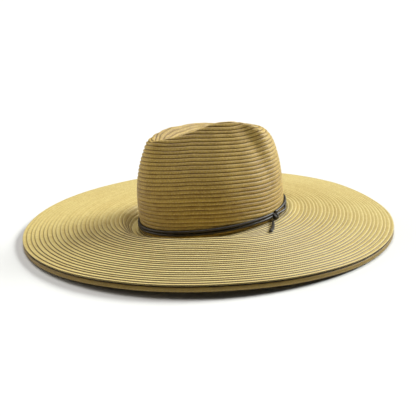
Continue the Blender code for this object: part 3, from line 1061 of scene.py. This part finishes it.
@dataclass
class Brim:
    """The wide brim: a flat margin round the crown, a roll and a long droop to the rim."""

    crown: Crown
    length: float = 0.500
    width: float = 0.476
    wall: float = 0.0022
    crest_height: float = 0.0287
    rim_lift: float = 0.0075
    margin: float = 0.0100
    edge_height: float = 0.0060
    gap: float = 0.0003
    braid_rows: int = 30
    braid_phases: tuple[float, ...] = (0.0, 0.22, 0.56, 0.86, 0.95)
    braid_heights: tuple[float, ...] = (0.0, 0.42, 0.82, 1.0, 0.86)
    braid_relief: float = 0.0014
    stations: int = 320
    section_steps: int = 160
    far_below: float = 5.0

    def inner(self, turn: float, grow: float) -> Vector:
        """A point on the flat margin, this far outside the crown's foot."""
        height = self.crown.foot_height(turn) - self.gap
        return self.crown.to_hat(self.crown.oval(turn, grow, height))

    def lift(self, turn: float) -> float:
        """How far the edge stands off the surface that the hat rests on."""
        return self.rim_lift * BRIM_SECTIONS.value("lift", turn)

    def rim(self, turn: float) -> Vector:
        """A point on the top of the rim."""
        angle = math.radians(turn)
        height = self.lift(turn) + self.edge_height + self.gap + self.wall
        return Vector((self.width / 2 * math.sin(angle), -self.length / 2 * math.cos(angle), height))

    def across(self, turn: float) -> float:
        """Width of the brim in plan, from its inner edge under the crown's wall to its rim."""
        return (self.rim(turn) - self.inner(turn, -self.crown.wall)).xy.length

    def points(self, turn: float, shares: list[float]) -> list[Vector]:
        """Points of the brim's upper side at one turn.

        Args:
            turn: The turn in degrees.
            shares: How far each point lies from the inner edge to the rim, from 0 to 1.

        Returns:
            The points.
        """
        inner = self.inner(turn, -self.crown.wall)
        margin = self.inner(turn, self.margin)
        rim = self.rim(turn)
        margin_share = (self.crown.wall + self.margin) / self.across(turn)
        reach = BRIM_SECTIONS.value("reach", turn)
        crest = self.crest_height * BRIM_SECTIONS.value("crest", turn)
        droop = BRIM_SECTIONS.value("droop", turn)
        found = []
        for share in shares:
            point = inner.lerp(rim, share)
            if share <= margin_share:
                point.z = inner.z + (margin.z - inner.z) * share / margin_share
            elif share <= reach:
                rise = (share - margin_share) / (reach - margin_share)
                point.z = margin.z + (crest - margin.z) * rise * rise * (3 - 2 * rise)
            else:
                fall = (share - reach) / (1 - reach)
                point.z = crest - (crest - rim.z) * fall**droop
            found.append(point)
        return found

    def build(self, finish: bpy.types.Material) -> bpy.types.Object:
        """Builds the brim's rows of braid.

        Args:
            finish: The straw's material.

        Returns:
            The finished piece, on the hat's body.
        """
        turns = turns_round(self.stations)
        profile = RowProfile(self.braid_phases, self.braid_heights, self.braid_relief)
        inside = Vector((0.0, 0.0, -self.far_below))
        sheet = BraidSheet("brim_braid", self.braid_rows, self.wall, inside, profile)
        rows = np.array(profile.rows(self.braid_rows)) / self.braid_rows
        shares = [i / self.section_steps for i in range(self.section_steps + 1)]
        places = np.zeros((len(rows), len(turns), 3))
        for column, turn in enumerate(turns):
            outline = np.array(self.points(turn, shares))
            places[:, column] = places_along(outline, rows * reach_along(outline)[-1])
        piece = sheet.build(places, np.ones(places.shape[:2]), finish)
        return settle(piece, Slot.STRAW, "brim")


@dataclass
class BrimEdge:
    """The rim's last row of braid, turned down and set back a little under the row above it."""

    brim: Brim
    thickness: float = 0.0028
    recess: float = 0.0006
    braid_phases: tuple[float, ...] = (0.0, 0.14, 0.34, 0.58, 0.82)
    braid_heights: tuple[float, ...] = (-0.35, 0.35, 0.85, 1.0, 0.85)
    braid_relief: float = 0.0008
    braid_end: float = 0.1
    stations: int = 380

    def build(self, finish: bpy.types.Material) -> bpy.types.Object:
        """Builds the turned-down edge.

        Args:
            finish: The edge's material.

        Returns:
            The finished piece, on the hat's body.
        """
        turns = turns_round(self.stations)
        profile = RowProfile(self.braid_phases, self.braid_heights, self.braid_relief, self.braid_end)
        sheet = BraidSheet("brim_edge_braid", 1, self.thickness, Vector(), profile)
        rows = profile.rows(1)
        places = np.zeros((len(rows), len(turns), 3))
        for column, turn in enumerate(turns):
            angle = math.radians(turn)
            x = (self.brim.width / 2 - self.recess) * math.sin(angle)
            y = -(self.brim.length / 2 - self.recess) * math.cos(angle)
            for row, down in enumerate(rows):
                height = self.brim.lift(turn) + self.brim.edge_height * (1 - down)
                places[row, column] = (x, y, height)
        piece = sheet.build(places, np.ones(places.shape[:2]), finish)
        return settle(piece, Slot.EDGE, "brim_edge")


@dataclass
class Cord:
    """The leather cord: two strands round the crown's foot, their knot and the free end."""

    crown: Crown
    brim: Brim
    diameter: float = 0.0035
    rise: float = 0.0042
    bow: float = 0.0035
    bow_turns: float = 26.0
    knot_turn: float = 117.0
    knot_width: float = 0.0110
    knot_depth: float = 0.0080
    knot_height: float = 0.0095
    knot_lace: float = 0.0043
    knot_flat: float = 0.8
    knot_steps: int = 120
    tail_start_turn: float = 110.5
    tail_start_out: float = 0.0075
    tail_end_turn: float = 96.5
    tail_end_out: float = 0.0320
    tail_length: float = 0.0382
    tail_start_width: float = 0.9
    tail_end_width: float = 1.45
    tail_thickness: float = 0.8
    tail_steps: int = 24
    hidden_turns: float = 1.4
    strand_steps: int = 300
    gap: float = 0.0003

    def centre(self, turn: float, strand: Strand) -> Vector:
        """Middle of a strand at one turn.

        Args:
            turn: The turn in degrees.
            strand: Which of the two strands.

        Returns:
            The point.
        """
        radius = self.diameter / 2
        height = self.crown.foot_height(turn) + self.rise + radius
        height += (self.diameter + self.gap) * strand.value
        out = radius + 2 * self.gap
        past_knot = (turn - self.knot_turn) % FULL_TURN / self.bow_turns
        if strand is Strand.LOWER and past_knot < 1:
            out += self.bow * math.sin(math.pi * past_knot) ** 2
        return self.crown.to_hat(self.crown.oval(turn, out, height))

    def build_strand(self, strand: Strand, finish: bpy.types.Material) -> bpy.types.Object:
        """Builds one strand, from one side of the knot round the crown into its other side.

        Args:
            strand: Which of the two strands.
            finish: The leather's material.

        Returns:
            The finished piece, on the hat's body.
        """
        start = self.knot_turn + self.hidden_turns
        span = FULL_TURN - 2 * self.hidden_turns
        turns = [start + span * i / self.strand_steps for i in range(self.strand_steps + 1)]
        points = [self.centre(turn, strand) for turn in turns]
        name = strand.name.lower()
        lace = Lace(f"{name}_lace", self.diameter)
        return settle(lace.build(points, finish), Slot.LEATHER, f"cord_{name}_strand")

    def build_knot(self, finish: bpy.types.Material) -> bpy.types.Object:
        """Builds the tight knot as a lace that winds round itself, as a trefoil's line does.

        Args:
            finish: The leather's material.

        Returns:
            The finished piece, on the hat's body.
        """
        turn = self.knot_turn
        along = self.centre(turn + 1, Strand.LOWER) - self.centre(turn - 1, Strand.LOWER)
        along.normalize()
        up = (self.centre(turn, Strand.UPPER) - self.centre(turn, Strand.LOWER)).normalized()
        outward = along.cross(up)
        centre = self.crown.to_hat(self.crown.oval(turn, 0.0, self.crown.foot_height(turn)))
        centre += outward * (self.knot_depth / 2 + 2 * self.gap)
        centre += up * (self.knot_height / 2 + self.gap)
        wide = (self.knot_width - self.knot_lace) / 2 / TREFOIL_REACH
        high = (self.knot_height - self.knot_lace) / 2 / TREFOIL_REACH
        deep = (self.knot_depth - self.knot_lace) / 2
        points = []
        for i in range(self.knot_steps + 1):
            angle = math.tau * i / self.knot_steps
            across = (math.sin(angle) + 2 * math.sin(2 * angle)) * wide
            above = (math.cos(angle) - 2 * math.cos(2 * angle)) * high
            out = -math.sin(3 * angle) * deep * self.knot_flat
            points.append(centre + along * across + up * above + outward * out)
        lace = Lace("knot_lace", self.knot_lace)
        return settle(lace.build(points, finish, closed=True), Slot.LEATHER, "cord_knot")

    def tail_points(self) -> list[Vector]:
        """Middle line of the free end, on the brim from beside the knot."""
        points = []
        for i in range(self.tail_steps + 1):
            step = i / self.tail_steps
            turn = self.tail_start_turn + (self.tail_end_turn - self.tail_start_turn) * step
            out = self.tail_start_out + (self.tail_end_out - self.tail_start_out) * step
            share = (self.crown.wall + out) / self.brim.across(turn)
            point = self.brim.points(turn, [share])[0]
            points.append(point + Vector((0.0, 0.0, self.diameter / 2 + 3 * self.gap)))
        return points

    def build_tail(self, finish: bpy.types.Material) -> bpy.types.Object:
        """Args:
            finish: The leather's material.

        Returns:
            The finished piece, on the hat's body.
        """
        points = self.tail_points()
        lace = Lace(
            "tail_lace",
            self.diameter,
            start_width=self.tail_start_width,
            end_width=self.tail_end_width,
            thickness=self.tail_thickness,
        )
        piece = settle(lace.build(points, finish), Slot.LEATHER, "cord_tail")
        return piece


@dataclass
class PhotoCamera:
    """The camera at the photograph's viewing angle.

    The focal length, the picture's side and the aim are in pixels of the photograph, and the sensor's
    width is in millimetres.
    """

    azimuth: float = math.radians(60.0)
    elevation: float = math.radians(18.9)
    roll: float = math.radians(-1.35)
    distance: float = 1.2
    focal_pixels: float = 884.4
    picture: float = 416.0
    sensor: float = 36.0
    aim_right: float = 1.7
    aim_down: float = 19.6
    nearest: float = 0.05
    farthest: float = 100.0

    def build(self) -> bpy.types.Object:
        """Creates the camera and makes it the scene's.

        Returns:
            The camera.
        """
        flat = math.cos(self.elevation)
        back_x = math.sin(self.azimuth) * flat
        back_y = -math.cos(self.azimuth) * flat
        back = Vector((back_x, back_y, math.sin(self.elevation)))
        right = Vector((math.cos(self.azimuth), math.sin(self.azimuth), 0.0))
        up = back.cross(right)
        turned_right = right * math.cos(self.roll) + up * math.sin(self.roll)
        turned_up = up * math.cos(self.roll) - right * math.sin(self.roll)
        lens = bpy.data.cameras.new("photo_camera")
        lens.sensor_width = self.sensor
        lens.lens = self.focal_pixels / self.picture * self.sensor
        lens.shift_x = -self.aim_right / self.picture
        lens.shift_y = self.aim_down / self.picture
        lens.clip_start = self.nearest
        lens.clip_end = self.farthest
        camera = bpy.data.objects.new("photo_camera", lens)
        turned = Matrix((turned_right, turned_up, back)).transposed().to_4x4()
        camera.matrix_world = Matrix.Translation(back * self.distance) @ turned
        bpy.context.scene.collection.objects.link(camera)
        bpy.context.scene.camera = camera
        return camera


@dataclass(frozen=True)
class StudioLight:
    """A soft light so far off that it lights the whole floor alike."""

    name: str
    towards: tuple[float, float, float]
    strength: float
    softness: float
    colour: Colour = (1.0, 1.0, 1.0)

    def build(self) -> bpy.types.Object:
        """Creates the light.

        Returns:
            The light.
        """
        lamp = bpy.data.lights.new(self.name, "SUN")
        lamp.energy = self.strength
        lamp.angle = math.radians(self.softness)
        lamp.color = self.colour
        light = bpy.data.objects.new(self.name, lamp)
        light.location = self.towards
        light.rotation_mode = "QUATERNION"
        light.rotation_quaternion = Vector(self.towards).to_track_quat("Z", "Y")
        bpy.context.scene.collection.objects.link(light)
        return light


@dataclass
class Studio:
    """A plain pale floor under soft light from the right, the back, above and a little from the left."""

    floor_size: float = 60.0
    sky: float = 0.07
    horizon: float = 1.0
    horizon_top: float = 0.12
    sky_colour: Colour = (1.0, 0.92, 0.80)
    lights: tuple[StudioLight, ...] = (
        StudioLight("key", (0.054, 0.893, 0.60), 4.6, 26.0, (0.97, 1.0, 0.97)),
        StudioLight("fill", (-0.72, -0.75, 0.40), 0.9, 40.0, (1.0, 0.92, 0.80)),
        StudioLight("top", (-0.22, 0.06, 1.0), 1.9, 30.0),
    )

    def build(self) -> None:
        """Creates the floor, the sky and the lights."""
        shape = bmesh.new()
        bmesh.ops.create_grid(shape, x_segments=1, y_segments=1, size=self.floor_size / 2)
        floor = finished("studio_floor", shape, FloorFinish().make())
        self.build_sky()
        for light in self.lights:
            light.build()
        bpy.context.scene.view_settings.view_transform = "Standard"

    def build_sky(self) -> None:
        """Creates a dim warm sky that is white near the horizon, like the floor."""
        world = bpy.data.worlds.new("studio")
        world.use_nodes = True
        nodes = world.node_tree.nodes
        links = world.node_tree.links
        background = nodes["Background"]
        direction = nodes.new("ShaderNodeTexCoord").outputs["Generated"]
        parts = nodes.new("ShaderNodeSeparateXYZ")
        height = nodes.new("ShaderNodeMapRange")
        height.interpolation_type = "SMOOTHSTEP"
        height.inputs["From Min"].default_value = 0.0
        height.inputs["From Max"].default_value = self.horizon_top
        colour = nodes.new("ShaderNodeMix")
        colour.data_type = "RGBA"
        colour.inputs[MIX_LOW].default_value = (self.horizon, self.horizon, self.horizon, 1.0)
        colour.inputs[MIX_HIGH].default_value = (*(part * self.sky for part in self.sky_colour), 1.0)
        links.new(direction, parts.inputs[0])
        links.new(parts.outputs["Z"], height.inputs["Value"])
        links.new(height.outputs["Result"], colour.inputs[0])
        links.new(colour.outputs[MIX_RESULT], background.inputs["Color"])
        background.inputs["Strength"].default_value = 1.0
        bpy.context.scene.world = world


def main() -> None:
    """Builds the hat's pieces in order and reports each one."""
    logging.basicConfig(level=logging.INFO, format="%(name)s: %(message)s")
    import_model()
    PhotoCamera().build()
    leather = LeatherFinish("dark leather").make()
    crown = Crown()
    brim = Brim(crown)
    cord = Cord(crown, brim)
    pieces = [
        cord.build_tail(leather),
        crown.build(SHADE_PAINTED_CROWN_STRAW.make()),
        brim.build(BRIM_STRAW.make()),
        BrimEdge(brim).build(SHADE_PAINTED_EDGE_STRAW.make()),
        cord.build_strand(Strand.LOWER, leather),
        cord.build_strand(Strand.UPPER, leather),
        cord.build_knot(leather),
    ]
    for piece in pieces:
        LOG.info("%s has %d faces", piece.name, len(piece.data.polygons))
    Studio().build()


if __name__ == "__main__":
    main()
